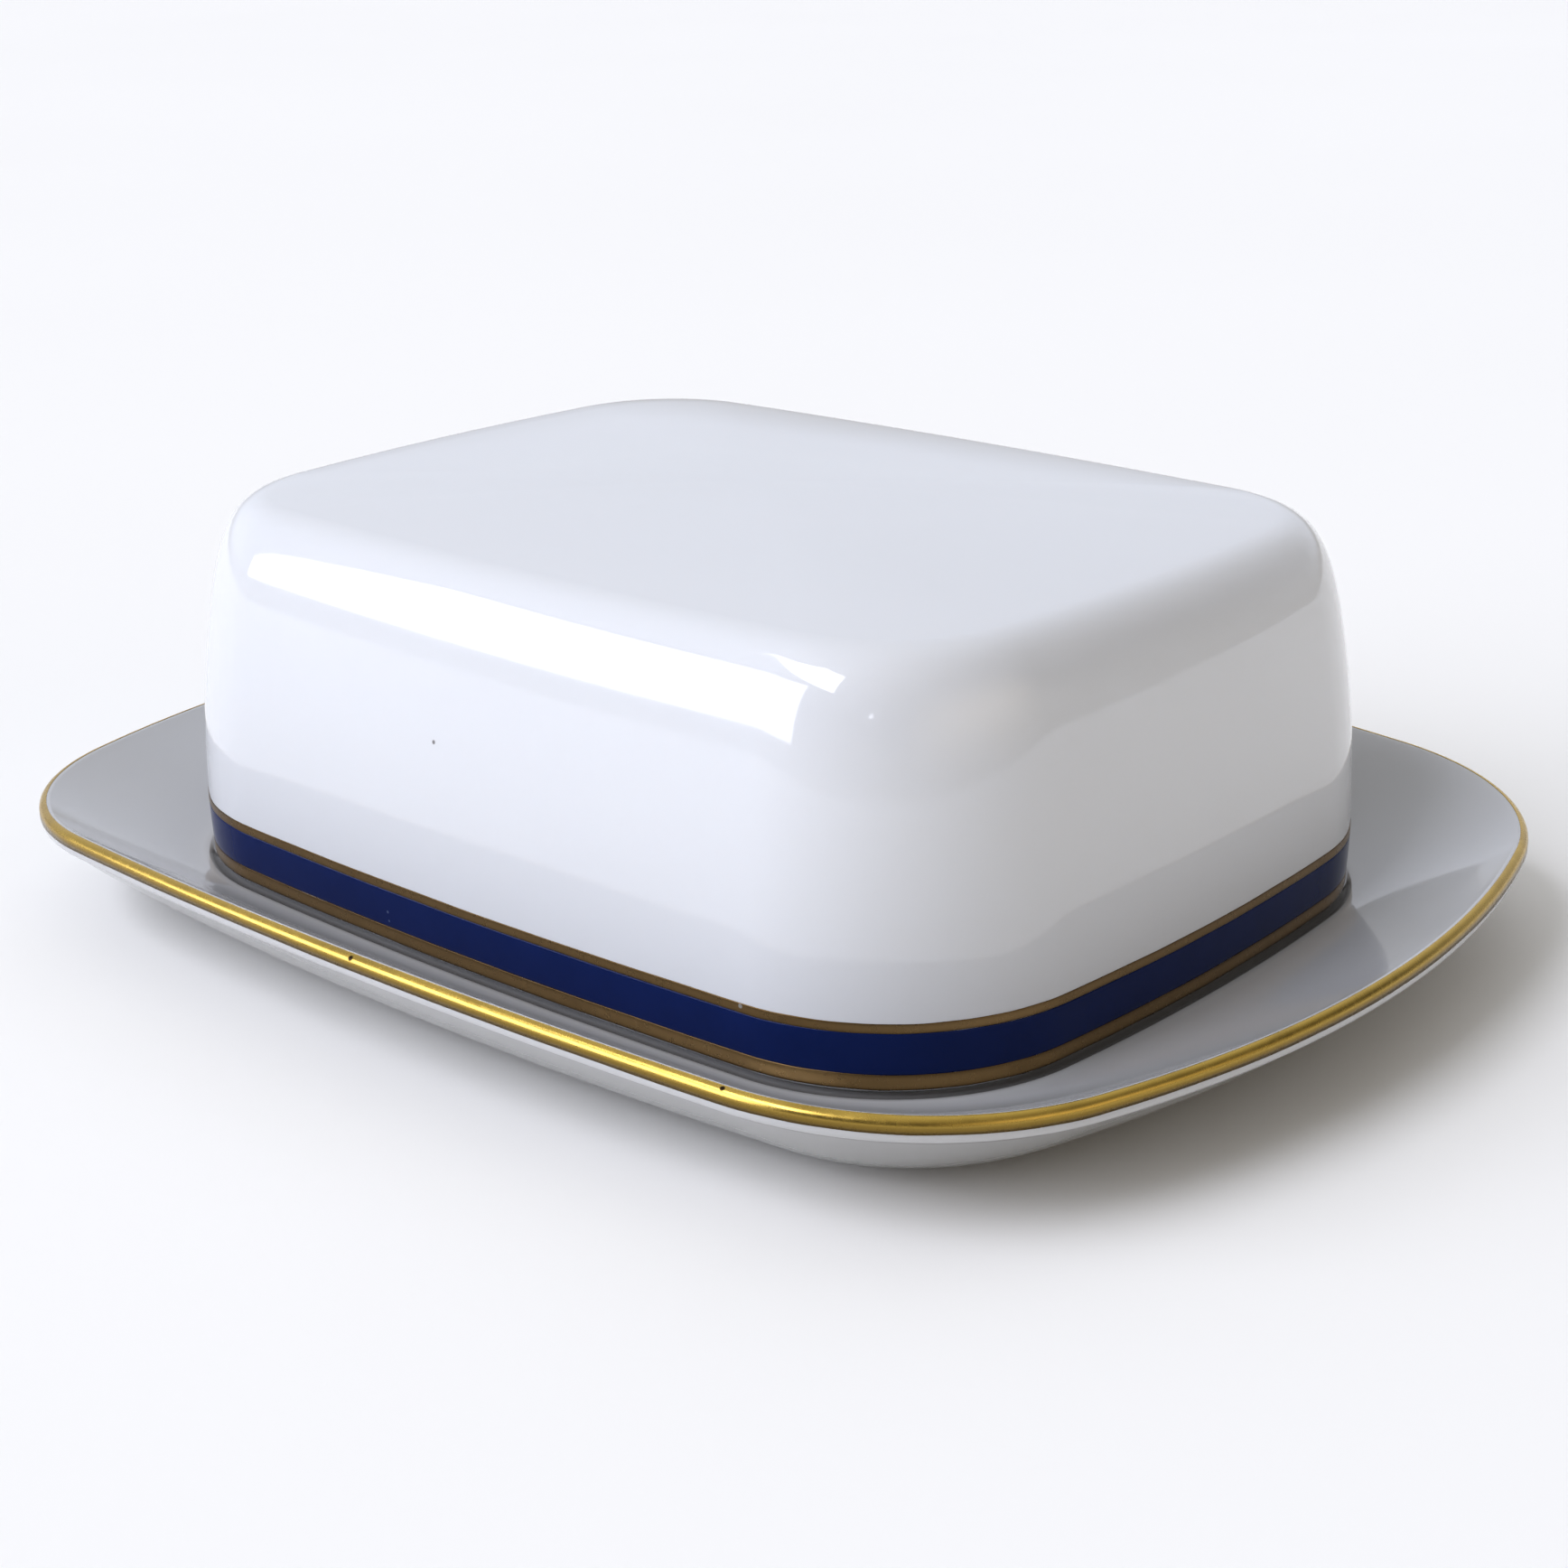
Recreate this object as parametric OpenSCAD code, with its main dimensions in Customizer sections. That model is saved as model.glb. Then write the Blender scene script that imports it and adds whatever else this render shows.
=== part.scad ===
// Covered butter dish: a porcelain tray with a flared rim and a loose porcelain lid.
// Millimetres, +Z up, origin at the centre of the foot ring's resting plane, +X along the long side.

/* [Lid] */
// Half length of the lid at its foot
lid_a = 65; // [62:0.5:68]
// Half width of the lid at its foot
lid_b = 49.9; // [48:0.1:52]
// How far the long sides bow outwards
lid_bow_long = 3.3; // [2:0.1:5]
// How far the short sides bow outwards
lid_bow_short = 4.3; // [2:0.1:6]
// Upright corner radius at the foot
lid_corner_r = 25; // [20:0.5:30]
// Height of the lid from its foot to the top of its crown
lid_h = 47.2; // [44:0.2:52]
// Height of the fillet between walls and top
lid_fillet_h = 12.1; // [9:0.1:14]
// Plan width of the fillet between walls and top
lid_fillet_w = 7.9; // [7:0.1:10]
// Rise of the crowned top over its flattest edge
lid_crown = 2.1; // [1:0.1:3]
// How far the walls lean in over their height
lid_lean = 2; // [1:0.1:3.5]
// Outward slope of the walls right at the foot, which makes them bulge a little
lid_splay = 0.07; // [0:0.01:0.1]
// Wall thickness of the lid
lid_wall = 3.6; // [3:0.1:4.2]

/* [Bands] */
// Height of the lower gold line's bottom edge over the lid's foot
gold_low_z = 0.6; // [0.6:0.05:0.9]
// Height of the cobalt band's bottom edge over the lid's foot
cobalt_low_z = 2.3; // [1.8:0.05:3]
// Height of the cobalt band's top edge over the lid's foot
cobalt_top_z = 6.95; // [5:0.05:7.5]
// Height of the upper gold line's top edge over the lid's foot
gold_top_z = 8.05; // [7.8:0.05:9]
// Thickness of the fired-on colour and gold
film = 0.12; // [0.08:0.02:0.2]

/* [Tray] */
// Half length of the tray at its rim
rim_a = 87; // [86:0.5:90]
// Half width of the tray at its rim
rim_b = 68.5; // [67.5:0.5:71]
// How far the long edges of the rim bow outwards
rim_bow_long = 8.3; // [7:0.1:9.5]
// How far the short edges of the rim bow outwards
rim_bow_short = 18; // [15:0.2:20]
// Corner radius of the rim in plan
rim_corner_r = 34; // [30:0.5:38]
// Height of the rim's crest over the seat of the lid, at the middle of a long side
rim_h = 9.15; // [8:0.05:11]
// How much lower the crest is at the short ends
rim_end_dip = 1.9; // [0:0.1:2.5]
// Inset from the rim of the ring where the underside turns flat
belly_in = 14.5; // [12:0.5:15]
// Radius of the rolled lip at the rim
lip_r = 0.9; // [0.7:0.05:1.1]
// How far the rim's gold reaches below the crest
rim_gold_drop = 1.55; // [1.3:0.05:1.8]
// Height of the lid's seat over the resting plane
seat_z = 6.2; // [5.8:0.1:7]
// Height of the recess inside the foot ring
recess_z = 1.8; // [1.4:0.1:2.2]
// Height of the bead that keeps the lid in place
bead_h = 1.2; // [0.8:0.1:1.6]

/* [Colours] */
// Glazed porcelain
porcelain = "#eef0f3";
// Cobalt underglaze
cobalt = "#16255c";
// Burnished gold
gold = "#a98435";

/* [Hidden] */

// Segments of one quarter of an outline: half short side, corner, half long side.
seg_short = 5;
seg_corner = 12;
seg_long = 6;

fillet_steps = 7;
crown_steps = 4;
flare_steps = 7;
flare_power = 1.4;
lid_fillet_z = lid_h - lid_crown - lid_fillet_h;
lid_ring_in = lid_lean + lid_fillet_w;
crown_slope = 0.09;
well_gap = 1;
lip_drop = 2.75;
belly_z = seat_z - 4.6;
under_steps = 6;

// ---- Outline: four bowed sides joined by four corner arcs, all tangent ----

// Radius of an arc with the given half chord and bow.
function bow_r(half, bow) = (half * half + bow * bow) / (2 * bow);

// Intersection with the larger x of two circles.
function cross(p, r, q, s) =
    let (d = norm(q - p), t = (r * r - s * s + d * d) / (2 * d), k = sqrt(r * r - t * t), e = (q - p) / d)
    let (m = p + e * t, c1 = m + k * [-e.y, e.x], c2 = m - k * [-e.y, e.x])
    c1.x > c2.x ? c1 : c2;

// One point of an arc as [x, y, nx, ny], the last two being the outward normal.
function arc_pt(c, r, t) = [c.x + r * cos(t), c.y + r * sin(t), cos(t), sin(t)];

function arc(c, r, t0, t1, n) = [for (i = [0:n - 1]) arc_pt(c, r, t0 + (t1 - t0) * i / n)];

// A quarter outline from the +X axis up to, but without, the +Y axis.
function quarter(a, b, bow_a, bow_b, rc) =
    let (ra = bow_r(a, bow_a), rb = bow_r(b, bow_b), o1 = [0, b - ra], o2 = [a - rb, 0])
    let (c = cross(o1, ra - rc, o2, rb - rc), t1 = atan2(c.y - o1.y, c.x), t2 = atan2(c.y, c.x - o2.x))
    concat(arc(o2, rb, 0, t2, seg_short), arc(c, rc, t2, t1, seg_corner), arc(o1, ra, t1, 90, seg_long));

function turn_back(q) = [for (i = [len(q) - 1:-1:1]) q[i]];

function outline(a, b, bow_a, bow_b, rc) =
    let (q = quarter(a, b, bow_a, bow_b, rc), y_end = [0, b, 0, 1], back = turn_back(q))
    let (half = concat(q, [y_end], [for (p = back) [-p[0], p[1], -p[2], p[3]]], [[-a, 0, -1, 0]]))
    concat(half, [for (i = [1:len(half) - 2]) let (p = half[len(half) - 1 - i]) [p[0], -p[1], p[2], -p[3]]]);

lid_line = outline(lid_a, lid_b, lid_bow_long, lid_bow_short, lid_corner_r);
rim_line = outline(rim_a, rim_b, rim_bow_long, rim_bow_short, rim_corner_r);
pts = len(lid_line);

// ---- Rows: closed loops of 3-D points ----

// An outline moved inwards by d, at height z.
function inset_row(line, d, z) = [for (p = line) [p[0] - d * p[2], p[1] - d * p[3], z]];

// Drop of the rim towards the short ends, for outline point i.
function end_dip(i) = rim_end_dip * pow(rim_line[i][0] / rim_a, 2);

// A rim row: inset s from the rim outline, dz below or above the crest.
function rim_row(s, dz) =
    [for (i = [0:pts - 1]) let (p = rim_line[i])
        [p[0] - s * p[2], p[1] - s * p[3], seat_z + rim_h + dz - end_dip(i)]];

// A row between two rows: u runs from the first to the second in plan, w in height.
function blend_row(r0, r1, u, w) =
    [for (i = [0:pts - 1])
        [r0[i].x + (r1[i].x - r0[i].x) * u, r0[i].y + (r1[i].y - r0[i].y) * u,
         r0[i].z + (r1[i].z - r0[i].z) * w]];

// Skin over rows. A solid gets flat caps on its first and last row; a ring closes on itself.
// Quads of the rows listed in swap are split along the other diagonal.
module skin(rows, ring = false, swap = []) {
    n = len(rows[0]);
    m = len(rows);
    last = ring ? m - 1 : m - 2;
    sides = [for (j = [0:last], i = [0:n - 1])
        let (k = (i + 1) % n, a = j * n + i, b = j * n + k)
        let (c = ((j + 1) % m) * n + k, d = ((j + 1) % m) * n + i)
        each (len(search(j, swap)) > 0 ? [[a, d, b], [b, d, c]] : [[a, c, b], [a, d, c]])];
    caps = ring ? [] : [[for (i = [0:n - 1]) i], [for (i = [n - 1:-1:0]) (m - 1) * n + i]];
    polyhedron(points = [for (r = rows) each r], faces = concat(sides, caps), convexity = 6);
}

// ---- Lid profile ----

// Inward lean of the outer wall at height z over the foot.
function wall_in(z) = let (t = z / lid_fillet_z) lid_lean * t * t - lid_splay * z * (1 - t);

function bezier(p, t) = let (s = 1 - t)
    p[0] * s * s * s + p[1] * 3 * s * s * t + p[2] * 3 * s * t * t + p[3] * t * t * t;

// Fillet from the top of a wall to the edge of the crown, as [inset, height] pairs.
function fillet(w0, z0, w1, z1, n) =
    let (lean = 2 * lid_lean / lid_fillet_z + lid_splay, rise = (z1 - z0) * 0.6, run = (w1 - w0) * 0.6)
    let (p = [[w0, z0], [w0 + lean * rise, z0 + rise], [w1 - run, z1 - run * crown_slope], [w1, z1]])
    [for (i = [1:n]) bezier(p, i / n)];

function lid_row(v) = inset_row(lid_line, v[0], seat_z + v[1]);

// Crown rows: the last fillet row drawn in to the middle while it rises.
function crown_rows(v, rise) =
    let (r = lid_row(v))
    [for (k = [1:crown_steps]) let (t = 1 - k / (crown_steps + 0.5))
        [for (p = r) [p.x * t, p.y * t, p.z + rise * (1 - t * t)]]];

function turned(rows) = [for (j = [len(rows) - 1:-1:0]) rows[j]];

band_zs = [gold_low_z, cobalt_low_z, cobalt_top_z, gold_top_z];
wall_zs = concat(band_zs, [for (t = [0.42, 0.62, 0.81, 1]) lid_fillet_z * t]);

outer_profile = concat([[1.1, 0], [0.3, 0.25]], [for (z = wall_zs) [wall_in(z), z]],
    fillet(lid_lean, lid_fillet_z, lid_ring_in, lid_h - lid_crown, fillet_steps));

inner_zs = [for (t = [0.05, 0.35, 0.65, 0.95]) lid_fillet_z * t];
inner_top_z = lid_h - lid_crown - lid_wall;
inner_ring_in = lid_ring_in + 1.5;
inner_profile = concat([[lid_wall - 0.6, 0], [lid_wall - 0.1, 0.35]],
    [for (z = inner_zs) [wall_in(z) + lid_wall, z]],
    fillet(wall_in(lid_fillet_z * 0.95) + lid_wall, lid_fillet_z * 0.95, inner_ring_in, inner_top_z,
        fillet_steps));

module lid() {
    outer = concat([for (v = outer_profile) lid_row(v)],
        crown_rows(outer_profile[len(outer_profile) - 1], lid_crown));
    inner = concat([for (v = inner_profile) lid_row(v)],
        crown_rows(inner_profile[len(inner_profile) - 1], lid_crown - 0.1));
    color(porcelain) skin(concat(turned(inner), outer));
}

// A thin band fired onto the lid's wall between two heights.
module wall_band(z0, z1) {
    rows = [[wall_in(z0), z0], [wall_in(z0) - film, z0], [wall_in(z1) - film, z1], [wall_in(z1), z1]];
    skin([for (v = rows) lid_row(v)], ring = true, swap = [3]);
}

module lid_cobalt_band() {
    color(cobalt) wall_band(cobalt_low_z, cobalt_top_z);
}

module lid_gold_line_upper() {
    color(gold) wall_band(cobalt_top_z, gold_top_z);
}

module lid_gold_line_lower() {
    color(gold) wall_band(gold_low_z, cobalt_low_z);
}

// ---- Tray ----

// Point of the rolled lip at angle t: 0 is the outermost edge and 90 the crest.
function lip(t, r) = [lip_r - r * cos(t), r * sin(t) - lip_r];

gold_angles = [0, 20, 40, 60, 80, 98];
inner_lip_angles = [111, 124];

module tray() {
    recess = [for (v = [[7.5, recess_z], [6, recess_z - 0.1], [5.2, 0.4], [4.6, 0]])
        inset_row(lid_line, v[0], v[1])];
    foot = [for (v = [[2.4, 0], [1.7, 0.3], [0.9, 1.1]]) inset_row(lid_line, v[0], v[1])];
    belly = inset_row(rim_line, belly_in, belly_z);
    under_lip = rim_row(0.9, -lip_drop);
    under = [for (k = [0:under_steps - 1]) let (u = k / under_steps)
        blend_row(belly, under_lip, u, 0.45 * u + 0.55 * pow(u, 1.6))];
    edge = [under_lip, rim_row(0.25, 0.35 - lip_drop), rim_row(0, 0.9 - lip_drop),
        rim_row(0, -rim_gold_drop)];
    roll = [for (t = concat(gold_angles, inner_lip_angles)) let (v = lip(t, lip_r)) rim_row(v[0], v[1])];
    seat_edge = inset_row(lid_line, -well_gap, seat_z);
    lip_in = roll[len(roll) - 1];
    flare = [for (k = [1:flare_steps]) let (u = 1 - k / flare_steps)
        blend_row(seat_edge, lip_in, u, pow(u, flare_power))];
    bead = [for (v = [[5, 0], [5.4, 0.75], [6, 1], [7, 1], [7.6, 0.75], [8, 0]])
        inset_row(lid_line, v[0], seat_z + v[1] * bead_h)];
    color(porcelain) skin(concat(recess, foot, under, edge, roll, flare, bead));
}

module tray_gold_rim() {
    outer = concat([[-film, -rim_gold_drop]], [for (t = gold_angles) lip(t, lip_r + film)]);
    inner = concat([for (t = turned(gold_angles)) lip(t, lip_r)], [[0, -rim_gold_drop]]);
    swaps = [for (j = [0:len(inner) - 2]) j + len(outer)];
    rows = concat(outer, inner);
    color(gold) skin([for (v = rows) rim_row(v[0], v[1])], ring = true, swap = swaps);
}

tray();
tray_gold_rim();
lid();
lid_cobalt_band();
lid_gold_line_upper();
lid_gold_line_lower();
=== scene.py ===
"""Covered porcelain butter dish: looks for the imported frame. Metres, +Z up."""
import math

import bmesh
import bpy
from mathutils import Matrix, Vector


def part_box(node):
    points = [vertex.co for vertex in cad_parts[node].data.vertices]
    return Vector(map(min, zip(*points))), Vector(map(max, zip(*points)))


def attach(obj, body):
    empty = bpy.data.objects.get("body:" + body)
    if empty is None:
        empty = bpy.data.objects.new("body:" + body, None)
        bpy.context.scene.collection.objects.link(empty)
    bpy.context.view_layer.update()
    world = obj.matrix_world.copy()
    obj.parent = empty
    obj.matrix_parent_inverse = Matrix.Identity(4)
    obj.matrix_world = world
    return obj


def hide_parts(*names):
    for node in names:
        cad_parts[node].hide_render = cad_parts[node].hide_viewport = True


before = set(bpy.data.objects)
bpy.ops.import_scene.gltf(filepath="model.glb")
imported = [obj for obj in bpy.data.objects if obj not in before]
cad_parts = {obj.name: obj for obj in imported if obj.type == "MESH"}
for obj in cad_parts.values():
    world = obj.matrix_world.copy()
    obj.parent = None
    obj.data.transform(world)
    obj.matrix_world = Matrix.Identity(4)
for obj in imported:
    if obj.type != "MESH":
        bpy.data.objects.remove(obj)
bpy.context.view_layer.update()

MM = 0.001

# ---- Design numbers, in millimetres ----

# Lid: bow of its sides, corner radius, fillet, rise of the crown, lean and splay of its walls.
LID_BOW_LONG, LID_BOW_SHORT, LID_CORNER = 3.3, 4.3, 25.0
LID_FILLET_H, LID_FILLET_W = 12.1, 7.9
LID_CROWN, LID_LEAN, LID_SPLAY, LID_WALL = 2.1, 2.0, 0.07, 3.6
CROWN_SLOPE = 0.09
# Length of the fillet curve's handles, as a share of its rise and run.
FILLET_HANDLE = 0.6
# Rounded outer edge of the lid's foot, as (inset, height), and where the plain wall starts.
LID_FOOT = ((1.2, 0.0), (0.9, 0.04), (0.6, 0.12), (0.35, 0.24), (0.18, 0.38), (0.06, 0.52))
LID_FOOT_TOP = 0.7
LID_FOOT_ROUND = 0.6

# Tray: bow of its rim, corner radius, drop of the rim at the short ends, lip, flange, belly and foot.
RIM_BOW_LONG, RIM_BOW_SHORT, RIM_CORNER = 8.3, 18.0, 34.0
RIM_END_DIP = 1.9
LIP_R, LIP_DROP, GOLD_DROP = 0.9, 2.75, 1.55
UNDER_LIP_R = 0.9
FLARE_POWER = 1.4
WELL_GAP, BELLY_DROP, BELLY_IN = 1.0, 4.6, 14.5
BEAD_H, RECESS_Z = 1.2, 1.8
# Section of the bead that keeps the lid in place, as (inset from the lid's outline, share of its height).
BEAD = ((4.6, 0), (4.9, 0.12), (5.3, 0.6), (5.8, 0.93), (6.5, 1),
        (7.2, 0.93), (7.7, 0.6), (8.1, 0.12), (8.4, 0))
# Shallow groove round the lid's foot, as (inset from the lid's outline, depth, painted shade of the gap
# under the lid's foot).
GROOVE = ((-0.8, 0.1, 0.4), (-0.45, 0.3, 1.0), (0.0, 0.36, 1.0),
          (0.6, 0.3, 0.8), (1.0, 0.1, 0.4), (1.3, 0.0, 0.0))
# The part of the foot ring below this height is ground free of glaze.
RESTING_TOP = 0.2

# Gold and colour: thickness of the film, and how deep its hidden side lies in the porcelain.
FILM = 0.06
FILM_ROOT = 0.03

# Steps of a quarter outline: half short side, corner, half long side.
OUTLINE_STEPS = (12, 30, 14)

# Sizes that the frame gives.
lid_lo, lid_hi = (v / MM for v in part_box("lid"))
tray_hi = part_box("tray")[1] / MM
SEAT = lid_lo.z
LID_H = lid_hi.z - lid_lo.z
FILLET_Z = LID_H - LID_CROWN - LID_FILLET_H
WALL_BULGE = 0.25 * LID_SPLAY ** 2 * FILLET_Z / (LID_LEAN / FILLET_Z + LID_SPLAY)
LID_A, LID_B = lid_hi.x - WALL_BULGE, lid_hi.y - WALL_BULGE
RIM_A, RIM_B, CREST = tray_hi.x, tray_hi.y, tray_hi.z
RING_IN = LID_LEAN + LID_FILLET_W
# The lid's inside: top of its plain wall, edge of its ceiling and rise of its ceiling.
INNER_WALL_Z = FILLET_Z * 0.95
INNER_RING_IN, INNER_CROWN = RING_IN + 1.5, LID_CROWN - 0.1


def band_heights(node):
    """Lowest and highest height of a band over the lid's foot."""
    lo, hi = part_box(node)
    return lo.z / MM - SEAT, hi.z / MM - SEAT


# ---- Outline: four bowed sides and four corner arcs, all tangent ----

def bow_radius(half, bow):
    """Radius of an arc with the given half chord and bow."""
    return (half * half + bow * bow) / (2 * bow)


def circle_cross(p, r, q, s):
    """The intersection of two circles that has the larger x."""
    d = (q - p).length
    e = (q - p) / d
    t = (r * r - s * s + d * d) / (2 * d)
    k = math.sqrt(r * r - t * t)
    side = Vector((-e.y, e.x))
    one, two = p + e * t + side * k, p + e * t - side * k
    return one if one.x > two.x else two


def arc(c, r, t0, t1, n):
    """Points of an arc as (x, y, nx, ny), the last two being the outward normal, without its last point."""
    angles = [t0 + (t1 - t0) * i / n for i in range(n)]
    return [(c.x + r * math.cos(t), c.y + r * math.sin(t), math.cos(t), math.sin(t)) for t in angles]


def outline(a, b, bow_long, bow_short, corner):
    """Closed outline of (x, y, nx, ny) points, counterclockwise from +X, for half sizes a and b."""
    n_short, n_corner, n_long = OUTLINE_STEPS
    ra, rb = bow_radius(a, bow_long), bow_radius(b, bow_short)
    o1, o2 = Vector((0, b - ra)), Vector((a - rb, 0))
    c = circle_cross(o1, ra - corner, o2, rb - corner)
    t1 = math.atan2(c.y - o1.y, c.x)
    t2 = math.atan2(c.y, c.x - o2.x)
    q = arc(o2, rb, 0, t2, n_short) + arc(c, corner, t2, t1, n_corner)
    q += arc(o1, ra, t1, math.pi / 2, n_long)
    half = q + [(0, b, 0, 1)] + [(-x, y, -nx, ny) for x, y, nx, ny in reversed(q[1:])]
    other = [(x, -y, nx, -ny) for x, y, nx, ny in reversed(half[1:])]
    return half + [(-a, 0, -1, 0)] + other


lid_line = outline(LID_A, LID_B, LID_BOW_LONG, LID_BOW_SHORT, LID_CORNER)
rim_line = outline(RIM_A, RIM_B, RIM_BOW_LONG, RIM_BOW_SHORT, RIM_CORNER)
COUNT = len(lid_line)


def inset_row(line, d, z):
    """An outline moved inwards by d, at height z."""
    return [Vector((x - d * nx, y - d * ny, z)) for x, y, nx, ny in line]


def rim_row(s, dz):
    """A row at inset s from the rim and height dz over the crest, which dips at the short ends."""
    dips = [RIM_END_DIP * (p[0] / RIM_A) ** 2 for p in rim_line]
    return [v - Vector((0, 0, dip)) for v, dip in zip(inset_row(rim_line, s, CREST + dz), dips)]


def blend_row(r0, r1, u, w):
    """A row between two rows: u in plan, w in height."""
    out = []
    for p, q in zip(r0, r1):
        v = p.lerp(q, u)
        v.z = p.z + (q.z - p.z) * w
        out.append(v)
    return out


# ---- Mesh building ----

def new_piece(name, bm, body, replaced, materials):
    bmesh.ops.recalc_face_normals(bm, faces=bm.faces[:])
    mesh = bpy.data.meshes.new(name)
    bm.to_mesh(mesh)
    bm.free()
    for v in mesh.vertices:
        v.co *= MM
    mesh.polygons.foreach_set("use_smooth", [True] * len(mesh.polygons))
    for m in materials:
        mesh.materials.append(m)
    obj = bpy.data.objects.new(name, mesh)
    bpy.context.scene.collection.objects.link(obj)
    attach(obj, body)
    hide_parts(replaced)


def skin(rows, ring=False, edge=None):
    """Quads over closed rows. A solid ends in a fan at both ends; a ring closes on itself.

    edge gives one value for each row, which the materials read as wear on the gold, or as painted shade on
    the tray's glaze.
    """
    bm = bmesh.new()
    layer = bm.verts.layers.float.new("edge")
    grid = []
    for j, row in enumerate(rows):
        line = [bm.verts.new(p) for p in row]
        for v in line:
            v[layer] = edge[j] if edge else 0.0
        grid.append(line)
    n, m = len(grid[0]), len(grid)
    for j in range(m if ring else m - 1):
        lower, upper = grid[j], grid[(j + 1) % m]
        for i in range(n):
            k = (i + 1) % n
            bm.faces.new((lower[i], lower[k], upper[k], upper[i]))
    if not ring:
        for line in (grid[0], grid[-1]):
            middle = bm.verts.new(sum((v.co for v in line), Vector()) / n)
            for i in range(n):
                bm.faces.new((line[i], line[(i + 1) % n], middle))
    return bm


def steps(lo, hi, n):
    """n values from lo to hi, both included."""
    return [lo + (hi - lo) * i / (n - 1) for i in range(n)]


def corner_arc(d, z, r, t0, t1, n=6):
    """Points of a small rounding in a section, as (inset, height)."""
    return [(d + r * math.cos(math.radians(t)), z + r * math.sin(math.radians(t))) for t in steps(t0, t1, n)]


# ---- Lid ----

def wall_in(z):
    """Inward lean of the lid's outer wall at height z over its foot; it bulges out a little low down."""
    t = z / FILLET_Z
    return LID_LEAN * t * t - LID_SPLAY * z * (1 - t)


def bezier(p, t):
    """Point at t of the cubic curve with the four control points p."""
    s = 1 - t
    k = (s ** 3, 3 * s * s * t, 3 * s * t * t, t ** 3)
    return tuple(sum(a * q[i] for a, q in zip(k, p)) for i in (0, 1))


def fillet(w0, z0, w1, z1, n):
    """Section from the top of a wall to the edge of the crown, as (inset, height)."""
    lean = 2 * LID_LEAN / FILLET_Z + LID_SPLAY
    rise, run = (z1 - z0) * FILLET_HANDLE, (w1 - w0) * FILLET_HANDLE
    p = [(w0, z0), (w0 + lean * rise, z0 + rise), (w1 - run, z1 - run * CROWN_SLOPE), (w1, z1)]
    return [bezier(p, (i + 1) / n) for i in range(n)]


def lid_row(d, z):
    """A row of the lid: inset d from its outline, height z over its foot."""
    return inset_row(lid_line, d, SEAT + z)


def crown_rows(d, z, rise, n=16):
    """The last fillet row drawn in to the middle while it rises."""
    base = lid_row(d, z)
    rows = []
    for k in range(1, n):
        t = 1 - k / n
        rows.append([Vector((p.x * t, p.y * t, p.z + rise * (1 - t * t))) for p in base])
    return rows


def make_lid(material):
    """The hollow lid: one skin from the middle of its ceiling, round its foot, to the middle of its top."""
    wall = [(wall_in(z), z) for z in steps(LID_FOOT_TOP, FILLET_Z, 26)]
    outer = [*LID_FOOT, *wall, *fillet(LID_LEAN, FILLET_Z, RING_IN, LID_H - LID_CROWN, 26)]
    inner = corner_arc(LID_WALL - LID_FOOT_ROUND, LID_FOOT_ROUND, LID_FOOT_ROUND, 270, 360)
    inner += [(wall_in(z) + LID_WALL, z) for z in steps(1.0, INNER_WALL_Z, 12)]
    ceiling_z = LID_H - LID_CROWN - LID_WALL
    inner += fillet(wall_in(INNER_WALL_Z) + LID_WALL, INNER_WALL_Z, INNER_RING_IN, ceiling_z, 16)
    top = [lid_row(*v) for v in outer] + crown_rows(*outer[-1], LID_CROWN)
    hollow = [lid_row(*v) for v in inner] + crown_rows(*inner[-1], INNER_CROWN, 8)
    new_piece("lid_porcelain", skin(hollow[::-1] + top), "lid", "lid", [material])


def wobble(i, seed, size):
    """A small hand-painted waver along the outline, for outline point i."""
    t = 2 * math.pi * i / COUNT
    # Pairs of (number of waves round the outline, share of the size).
    waves = ((3, 0.5), (7, 0.35), (17, 0.3), (31, 0.25), (53, 0.2))
    return size * sum(a * math.sin(k * t + seed * (1.7 + k)) for k, a in waves)


def make_band(name, node, material, seed, waver, film=FILM):
    """A thin film of colour or gold on the lid's wall, with slightly uneven edges."""
    z0, z1 = band_heights(node)
    # Section as (share of the height, height over the wall's surface, wear).
    across = [(0.0, -FILM_ROOT, 1.0), (0.0, film * 0.6, 1.0)]
    across += [(u, film, abs(2 * u - 1) ** 3) for u in steps(0.04, 0.96, 9)]
    across += [(1.0, film * 0.6, 1.0), (1.0, -FILM_ROOT, 1.0)]
    rows = []
    for u, out, _ in across:
        row = []
        for i, (x, y, nx, ny) in enumerate(lid_line):
            low, high = wobble(i, seed, waver), wobble(i, seed + 5, waver)
            z = z0 + low + (z1 - z0 + high - low) * u
            d = wall_in(z) - out
            row.append(Vector((x - d * nx, y - d * ny, SEAT + z)))
        rows.append(row)
    bm = skin(rows, ring=True, edge=[wear for _, _, wear in across])
    new_piece(name, bm, "lid", node, [material])


# ---- Tray ----

def lip_point(angle, r=LIP_R):
    """Point of the rolled lip as (inset, height over crest): 0 outermost, 90 the crest."""
    t = math.radians(angle)
    return LIP_R - r * math.cos(t), r * math.sin(t) - LIP_R


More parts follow.
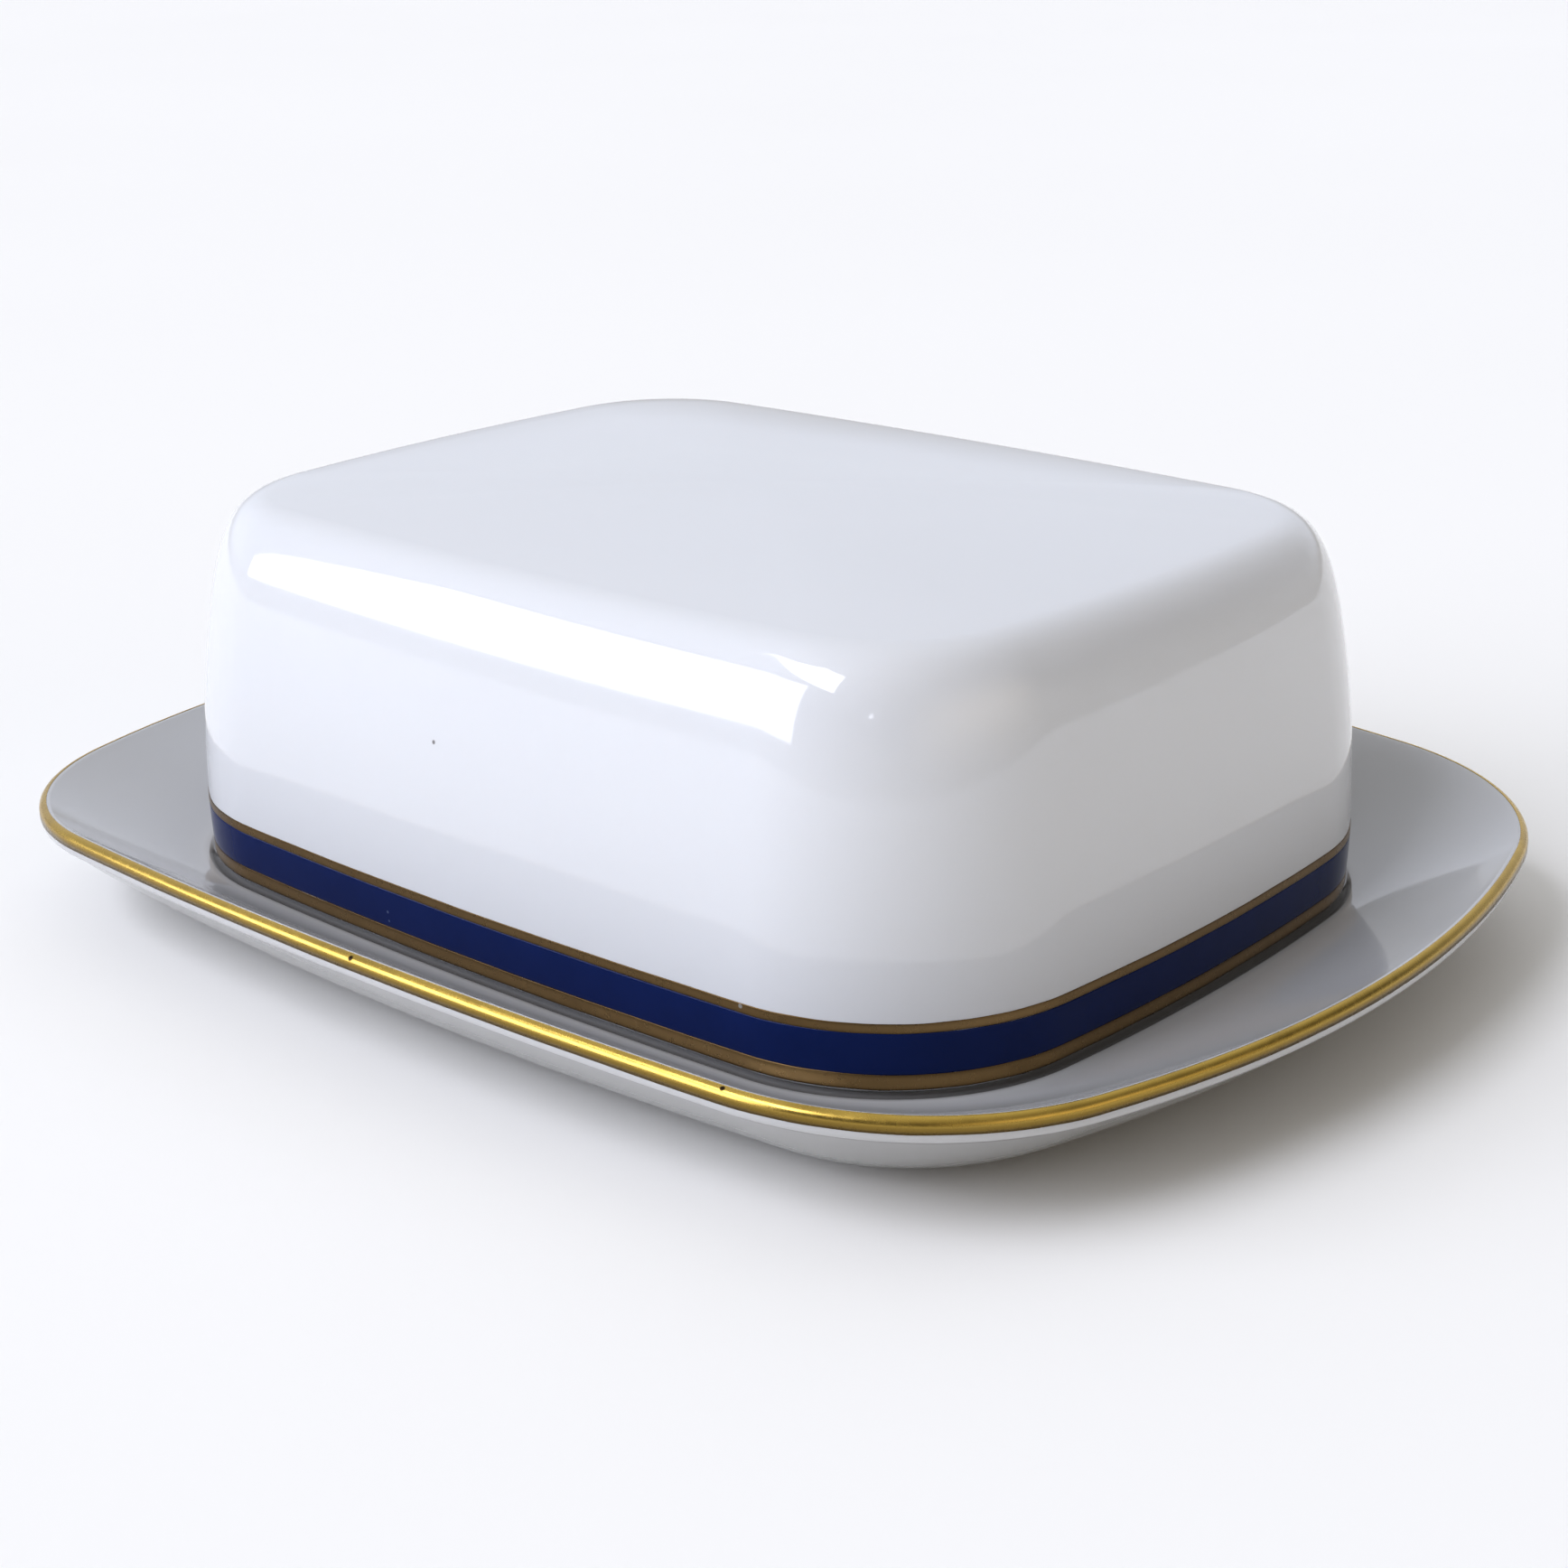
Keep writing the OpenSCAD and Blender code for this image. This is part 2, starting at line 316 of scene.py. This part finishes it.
def tray_under():
    """Rows of the underside from the recess out to the lip, and the next row, under the lip."""
    recess = [(7.5, RECESS_Z), (6.4, RECESS_Z - 0.05), (5.9, RECESS_Z - 0.3), (5.5, 1.0), (5.2, 0.45)]
    foot = corner_arc(4.6, 0.45, 0.45, 0, -90)[1:] + corner_arc(2.5, 0.5, 0.5, 270, 190)
    foot += [(1.6, 0.62), (1.0, 1.0)]
    rows = [inset_row(lid_line, d, z) for d, z in recess + foot]
    belly = inset_row(rim_line, BELLY_IN, SEAT - BELLY_DROP)
    under_lip = rim_row(UNDER_LIP_R, -LIP_DROP)
    rows += [blend_row(belly, under_lip, u, 0.45 * u + 0.55 * u ** 1.6) for u in steps(0, 1, 24)[:-1]]
    return rows, under_lip


def under_lip_row(angle):
    """A row of the rounding below the lip: 0 is its lowest point and 90 its outermost."""
    t = math.radians(angle)
    return rim_row(UNDER_LIP_R - UNDER_LIP_R * math.sin(t), -LIP_DROP + UNDER_LIP_R * (1 - math.cos(t)))


def tray_rows():
    """Rows of the whole tray from the recess under it to the bead on top, and how much painted shade each
    one gets.
    """
    rows, under_lip = tray_under()
    edge = [under_lip, *(under_lip_row(t) for t in (20, 40, 60, 80)), rim_row(0, -GOLD_DROP)]
    roll = [rim_row(*lip_point(t)) for t in steps(0, 126, 16)]
    seat_edge = inset_row(lid_line, -WELL_GAP, SEAT)
    lip_in = roll[-1]
    flare = [blend_row(seat_edge, lip_in, u, u ** FLARE_POWER) for u in steps(1.0, 0.0, 26)[1:]]
    groove = [inset_row(lid_line, d, SEAT - depth) for d, depth, _ in GROOVE]
    bead = [inset_row(lid_line, d, SEAT + share * BEAD_H) for d, share in BEAD]
    outside = rows + edge + roll + flare
    # Painted shade: only the groove's rows get it, as the dark gap under the lid's foot.
    painted_shade = [0.0] * len(outside) + [dark for _, _, dark in GROOVE] + [0.0] * len(bead)
    return outside + groove + bead, painted_shade


def make_tray(glaze, under_glaze_painted_shade, bare):
    """The tray. Its underside has the second material, a glaze darkened as painted shade, and the face that
    it rests on the third.
    """
    rows, painted_shade = tray_rows()
    bm = skin(rows, edge=painted_shade)
    under_count = COUNT * len(tray_under()[0])
    for i, f in enumerate(bm.faces):
        if all(v.co.z < RESTING_TOP for v in f.verts):
            f.material_index = 2
        elif i < under_count:
            f.material_index = 1
    new_piece("tray_porcelain", bm, "tray", "tray", [glaze, under_glaze_painted_shade, bare])


def make_rim_gold(material):
    """The gold film over the rolled lip, with an uneven lower edge."""
    angles = steps(0, 88, 14)
    # Section as (inset, height over the crest, wear).
    section = [(FILM_ROOT, -GOLD_DROP, 1.0), (-FILM, -GOLD_DROP, 1.0)]
    section += [(*lip_point(t, LIP_R + FILM), max(0.0, 0.7 - t / 45)) for t in angles]
    section += [(*lip_point(90, LIP_R + FILM * 0.3), 1.0), (*lip_point(90, LIP_R - FILM_ROOT), 1.0)]
    section += [(*lip_point(t, LIP_R - FILM_ROOT), 0.0) for t in reversed(angles)]
    rows = []
    for s, dz, _ in section:
        row = rim_row(s, dz)
        if dz == -GOLD_DROP:
            row = [v + Vector((0, 0, wobble(i, 3, 0.05))) for i, v in enumerate(row)]
        rows.append(row)
    bm = skin(rows, ring=True, edge=[wear for _, _, wear in section])
    new_piece("tray_gold", bm, "tray", "tray_gold_rim", [material])


# ---- Materials ----
# Noise scales are per metre, and bump distances are in metres.

# Tiny marks that the photograph shows, as (x, y, z, radius, colour), sizes in millimetres.
LID_MARKS = ((-5.0, -49.0, 32.5, 0.3, (0.16, 0.15, 0.15)),)
TRAY_MARKS = ((60.3, -46.1, 7.4, 0.15, (0.85, 0.85, 0.85)),
              (73.1, -45.7, 11.6, 0.15, (0.85, 0.85, 0.85)))
COBALT_MARKS = ((-13.5, -50.0, 10.4, 0.22, (0.05, 0.07, 0.14)),
                (-13.4, -50.0, 9.3, 0.18, (0.04, 0.06, 0.13)))
LINE_MARKS = ((40.1, -49.0, 13.9, 0.3, (0.55, 0.53, 0.50)),)
RIM_MARKS = ((2.1, -68.3, 15.1, 0.4, (0.02, 0.012, 0.006)),
             (52.4, -65.1, 14.6, 0.35, (0.02, 0.012, 0.006)))


class Shader:
    """A small helper round the node tree of one material or world."""

    def __init__(self, owner, surface="Principled BSDF", place="Object"):
        self.owner = owner
        owner.use_nodes = True
        self.nodes = owner.node_tree.nodes
        self.links = owner.node_tree.links
        self.surface = self.nodes[surface]
        self.place = self.add("ShaderNodeTexCoord").outputs[place]

    def add(self, kind, settings=None, **values):
        """A new node with the given settings and inputs; an underscore stands for a space."""
        node = self.nodes.new(kind)
        for key, value in (settings or {}).items():
            setattr(node, key, value)
        for key, value in values.items():
            self.feed(node.inputs[key.replace("_", " ")], value)
        return node

    def feed(self, socket, value):
        """Links another node's output to a socket, or sets the socket's own value."""
        if isinstance(value, bpy.types.NodeSocket):
            self.links.new(value, socket)
        else:
            socket.default_value = value

    def set(self, **values):
        """Feeds the inputs of the surface or background itself."""
        for key, value in values.items():
            self.feed(self.surface.inputs[key.replace("_", " ")], value)

    def noise(self, scale, detail=2.0, rough=0.5):
        node = self.add("ShaderNodeTexNoise", Vector=self.place, Scale=scale, Detail=detail, Roughness=rough)
        return node.outputs["Fac"]

    def ramp(self, value, low, high, to_low, to_high):
        """A value mapped from low..high to to_low..to_high, clamped at both ends."""
        node = self.add("ShaderNodeMapRange", Value=value)
        for name, v in (("From Min", low), ("From Max", high), ("To Min", to_low), ("To Max", to_high)):
            node.inputs[name].default_value = v
        return node.outputs["Result"]

    def mix(self, factor, one, two):
        """A blend of two colours: the first at 0 and the second at 1."""
        node = self.nodes.new("ShaderNodeMix")
        node.data_type = "RGBA"
        self.feed(node.inputs[0], factor)
        self.feed(node.inputs[6], one)
        self.feed(node.inputs[7], two)
        return node.outputs[2]

    def maths(self, operation, one, two=0.0):
        node = self.nodes.new("ShaderNodeMath")
        node.operation = operation
        self.feed(node.inputs[0], one)
        self.feed(node.inputs[1], two)
        return node.outputs[0]

    def bump(self, height, distance, under=None):
        """A bumped normal, on top of another one if under is given."""
        node = self.add("ShaderNodeBump", Height=height, Distance=distance, Strength=1.0)
        if under is not None:
            self.links.new(under, node.inputs["Normal"])
        return node.outputs["Normal"]

    def specks(self, scale, size, share):
        """Sparse pin-prick specks: 1 in a speck and 0 outside. size is in cells."""
        node = self.add("ShaderNodeTexVoronoi", Vector=self.place, Scale=scale)
        near = self.maths("LESS_THAN", node.outputs["Distance"], size)
        split = self.add("ShaderNodeSeparateColor", Color=node.outputs["Color"])
        chosen = self.maths("LESS_THAN", split.outputs[0], share)
        return self.maths("MULTIPLY", near, chosen)

    def edge(self):
        """The value that the mesh carries: wear on the gold, painted shade on the tray."""
        return self.add("ShaderNodeAttribute", {"attribute_name": "edge"}).outputs["Fac"]

    def spot(self, base, marks):
        """A base colour with small soft-edged marks on it."""
        for x, y, z, radius, tint in marks:
            far = self.nodes.new("ShaderNodeVectorMath")
            far.operation = "DISTANCE"
            self.feed(far.inputs[0], self.place)
            far.inputs[1].default_value = (x * MM, y * MM, z * MM)
            inside = self.ramp(far.outputs["Value"], 0.6 * radius * MM, radius * MM, 1.0, 0.0)
            base = self.mix(inside, base, colour(*tint))
        return base


def colour(r, g, b):
    """A linear colour with full alpha."""
    return (r, g, b, 1.0)


def porcelain(name, tint, shade, coat, marks=()):
    """White hard-paste porcelain under a clear glossy glaze, with pin-pricks, marks and painted shade where
    the mesh's edge value is set.
    """
    s = Shader(bpy.data.materials.new(name))
    base = s.mix(s.noise(20.0, 3.0), colour(*tint), colour(*shade))
    base = s.spot(s.mix(s.specks(60.0, 0.009, 0.16), base, colour(0.16, 0.13, 0.11)), marks)
    # Painted shade: where the mesh's edge value is set, in the groove round the lid's foot, the glaze turns
    # dark.
    base = s.mix(s.maths("MULTIPLY", s.edge(), 0.85), base, colour(0.06, 0.055, 0.05))
    wave = s.bump(s.noise(20.0, 1.0), 0.00012)
    peel = s.bump(s.noise(700.0, 2.0), 0.0000012, under=wave)
    s.set(Base_Color=base, Roughness=s.ramp(s.noise(90.0, 4.0), 0.3, 0.7, 0.05, 0.10), Normal=peel)
    s.set(IOR=1.53, Coat_Weight=coat, Coat_Roughness=0.015, Coat_Normal=wave)
    s.set(Subsurface_Weight=0.12, Subsurface_Scale=0.002)
    s.surface.inputs["Subsurface Radius"].default_value = (1.0, 0.85, 0.75)
    return s.owner


def bisque():
    """The unglazed resting face of the foot ring, ground and slightly soiled."""
    s = Shader(bpy.data.materials.new("bisque"))
    grain = s.noise(2500.0, 4.0, 0.7)
    base = s.mix(s.noise(120.0, 4.0), colour(0.78, 0.75, 0.70), colour(0.60, 0.56, 0.50))
    s.set(Base_Color=base, Roughness=s.ramp(grain, 0.3, 0.7, 0.55, 0.8), Normal=s.bump(grain, 0.00002))
    return s.owner


def cobalt():
    """Fired cobalt: deep blue, a little cloudy, under a glossy glaze."""
    s = Shader(bpy.data.materials.new("cobalt"))
    cloud = s.noise(160.0, 4.0, 0.6)
    base = s.mix(cloud, colour(0.0018, 0.0075, 0.050), colour(0.003, 0.011, 0.075))
    wave = s.bump(s.noise(45.0, 2.0), 0.00008)
    fine = s.bump(s.noise(1500.0, 3.0), 0.000003, under=wave)
    base = s.spot(base, COBALT_MARKS)
    s.set(Base_Color=base, Roughness=s.ramp(cloud, 0.3, 0.7, 0.10, 0.2), Normal=fine)
    s.set(IOR=1.45, Specular_IOR_Level=0.12)
    return s.owner


def gold(name, bright, dark, polish, marks=()):
    """Fired-on gold: warm, finely brushed, darker where it thins at its edges."""
    s = Shader(bpy.data.materials.new(name))
    grain = s.noise(900.0, 4.0, 0.6)
    worn = s.ramp(s.noise(140.0, 3.0), 0.5, 0.8, 0.0, 0.35)
    thin = s.maths("MAXIMUM", s.maths("MULTIPLY", s.edge(), 0.9), worn)
    base = s.spot(s.mix(thin, colour(*bright), colour(*dark)), marks)
    s.set(Base_Color=base, Metallic=1.0, Roughness=s.ramp(grain, 0.3, 0.7, polish, polish + 0.12))
    s.set(Normal=s.bump(grain, 0.000004, under=s.bump(s.noise(160.0, 2.0), 0.00003)))
    return s.owner


def pale_floor():
    """A matt off-white floor, very slightly cloudy."""
    s = Shader(bpy.data.materials.new("pale_floor"))
    base = s.mix(s.noise(3.0, 2.0), colour(0.86, 0.85, 0.825), colour(0.89, 0.88, 0.855))
    s.set(Base_Color=base, Roughness=0.9)
    return s.owner


# ---- Studio ----
# All the light comes from the world: a pale room, brighter and cooler to the left of the camera.

WALL_LEFT = (0.34, 0.36, 0.41)
WALL_FRONT = (0.09, 0.085, 0.08)
WALL_RIGHT = (1.5, 1.32, 1.10)
WALL_BACK = (0.80, 0.83, 0.92)
HORIZON = (0.50, 0.49, 0.48)
CEILING_LEFT = (0.78, 0.80, 0.83)
CEILING_RIGHT = (0.40, 0.38, 0.35)
# Bright panes as (brightness, edges), see pane(). Azimuth 0 faces the long front side.
PANE_TINT = (0.95, 0.98, 1.10)
WINDOW = (5.3, ((1, 0, -61), (-1, 0, 12.5), (0, 1, 5.5), (0.06, -1, -36.5)))
UPPER_PANE = (8.0, ((-1, 0, -5), (0.24, 1, 35.5), (-0.24, -1, -55), (0.2, -1, -64)))
SMALL_LAMP = (6.0, ((1, 0, 28.5), (-1, 0, -30.5), (0, 1, 20.2), (0, -1, -22.4)))
# Half size of the floor, in metres.
FLOOR_HALF = 6.0

def make_floor():
    bm = bmesh.new()
    quarters = ((-1, -1), (1, -1), (1, 1), (-1, 1))
    corners = [bm.verts.new((x * FLOOR_HALF, y * FLOOR_HALF, 0)) for x, y in quarters]
    bm.faces.new(corners)
    mesh = bpy.data.meshes.new("floor")
    bm.to_mesh(mesh)
    bm.free()
    mesh.materials.append(pale_floor())
    floor = bpy.data.objects.new("floor", mesh)
    bpy.context.scene.collection.objects.link(floor)


def pane(s, azimuth, elevation, edges, soft=0.5):
    """1 inside all edges and 0 outside.

    An edge (p, q, r) keeps p * azimuth + q * elevation > r, in degrees, and is soft degrees wide
    on either side.
    """
    inside = 1.0
    for p, q, r in edges:
        value = s.maths("ADD", s.maths("MULTIPLY", azimuth, p), s.maths("MULTIPLY", elevation, q))
        inside = s.maths("MULTIPLY", inside, s.ramp(value, r - soft, r + soft, 0.0, 1.0))
    return inside


def make_world():
    """A softly lit room: windows to the front left, a dark front wall and a warm right side."""
    world = bpy.data.worlds.new("studio")
    bpy.context.scene.world = world
    s = Shader(world, "Background", "Generated")
    split = s.add("ShaderNodeSeparateXYZ", Vector=s.place)
    x, y, z = split.outputs
    to_degrees = 180.0 / math.pi
    azimuth = s.maths("MULTIPLY", s.maths("ARCTAN2", x, s.maths("MULTIPLY", y, -1.0)), to_degrees)
    elevation = s.maths("MULTIPLY", s.maths("ARCSINE", z), to_degrees)
    walls = s.mix(s.ramp(x, -0.6, 0.0, 0.0, 1.0), colour(*WALL_LEFT), colour(*WALL_FRONT))
    walls = s.mix(s.ramp(x, 0.7, 0.97, 0.0, 1.0), walls, colour(*WALL_RIGHT))
    walls = s.mix(s.ramp(z, 0.0, 0.3, 0.0, 1.0), colour(*HORIZON), walls)
    back_left = s.ramp(s.maths("SUBTRACT", y, x), 0.3, 1.1, 0.0, 1.0)
    behind = s.maths("MULTIPLY", back_left, s.ramp(z, 0.02, 0.12, 0.0, 1.0))
    walls = s.mix(behind, walls, colour(*WALL_BACK))
    ceiling = s.mix(s.ramp(x, -0.1, 0.5, 0.0, 1.0), colour(*CEILING_LEFT), colour(*CEILING_RIGHT))
    sky = s.mix(s.ramp(z, 0.35, 0.85, 0.0, 1.0), walls, ceiling)
    for strength, edges in (WINDOW, UPPER_PANE, SMALL_LAMP):
        lit = colour(*(strength * c for c in PANE_TINT))
        sky = s.mix(pane(s, azimuth, elevation, edges), sky, lit)
    s.set(Color=sky, Strength=1.0)


def make_camera():
    """The camera stands in front of the near corner and looks slightly down."""
    azimuth, elevation, roll = math.radians(41.61), math.radians(19.82), math.radians(-0.76)
    distance, right_by, up_by, focal = 0.33817, 0.00208, 0.00837, 62.22
    back = Vector((math.sin(azimuth) * math.cos(elevation), -math.cos(azimuth) * math.cos(elevation),
                   math.sin(elevation)))
    right = (-back).cross(Vector((0, 0, 1))).normalized()
    up = right.cross(-back)
    turned = right * math.cos(roll) + up * math.sin(roll)
    tilted = up * math.cos(roll) - right * math.sin(roll)
    data = bpy.data.cameras.new("camera")
    data.lens, data.sensor_width = focal, 36.0
    data.clip_start, data.clip_end = 0.01, 50.0
    cam = bpy.data.objects.new("camera", data)
    cam.location = Vector((0, 0, SEAT * MM)) + back * distance + turned * right_by + tilted * up_by
    cam.rotation_mode = "QUATERNION"
    cam.rotation_quaternion = Matrix((turned, tilted, back)).transposed().to_quaternion()
    bpy.context.scene.collection.objects.link(cam)
    bpy.context.scene.camera = cam


def main():
    # The lines' gold is a darker copy of the rim's gold: painted shade for the dark room that the lid's wall
    # reflects.
    line_gold = gold("line_gold", (0.27, 0.170, 0.070), (0.08, 0.048, 0.020), 0.24, LINE_MARKS)
    rim_gold = gold("rim_gold", (0.54, 0.36, 0.075), (0.085, 0.05, 0.013), 0.2, RIM_MARKS)
    # The tray's glaze is a darker copy of the lid's white porcelain, as painted shade.
    tray_glaze = porcelain("tray_glaze", (0.485, 0.485, 0.49), (0.46, 0.46, 0.465), 0.2, TRAY_MARKS)
    # The underside's glaze is darker still: painted shade on the faces that look down.
    under_glaze_painted_shade = porcelain("under_glaze_painted_shade", (0.34, 0.34, 0.335), (0.31, 0.31, 0.305), 0.0)
    lid_glaze = porcelain("lid_glaze", (0.64, 0.65, 0.67), (0.62, 0.63, 0.65), 0.55, LID_MARKS)
    make_tray(tray_glaze, under_glaze_painted_shade, bisque())
    make_rim_gold(rim_gold)
    make_lid(lid_glaze)
    make_band("cobalt_band", "lid_cobalt_band", cobalt(), 1, 0.02)
    make_band("gold_line_upper", "lid_gold_line_upper", line_gold, 2, 0.05, FILM * 1.2)
    make_band("gold_line_lower", "lid_gold_line_lower", line_gold, 4, 0.05, FILM * 1.2)
    make_floor()
    make_world()
    make_camera()
    bpy.context.scene.view_settings.view_transform = "Standard"


main()
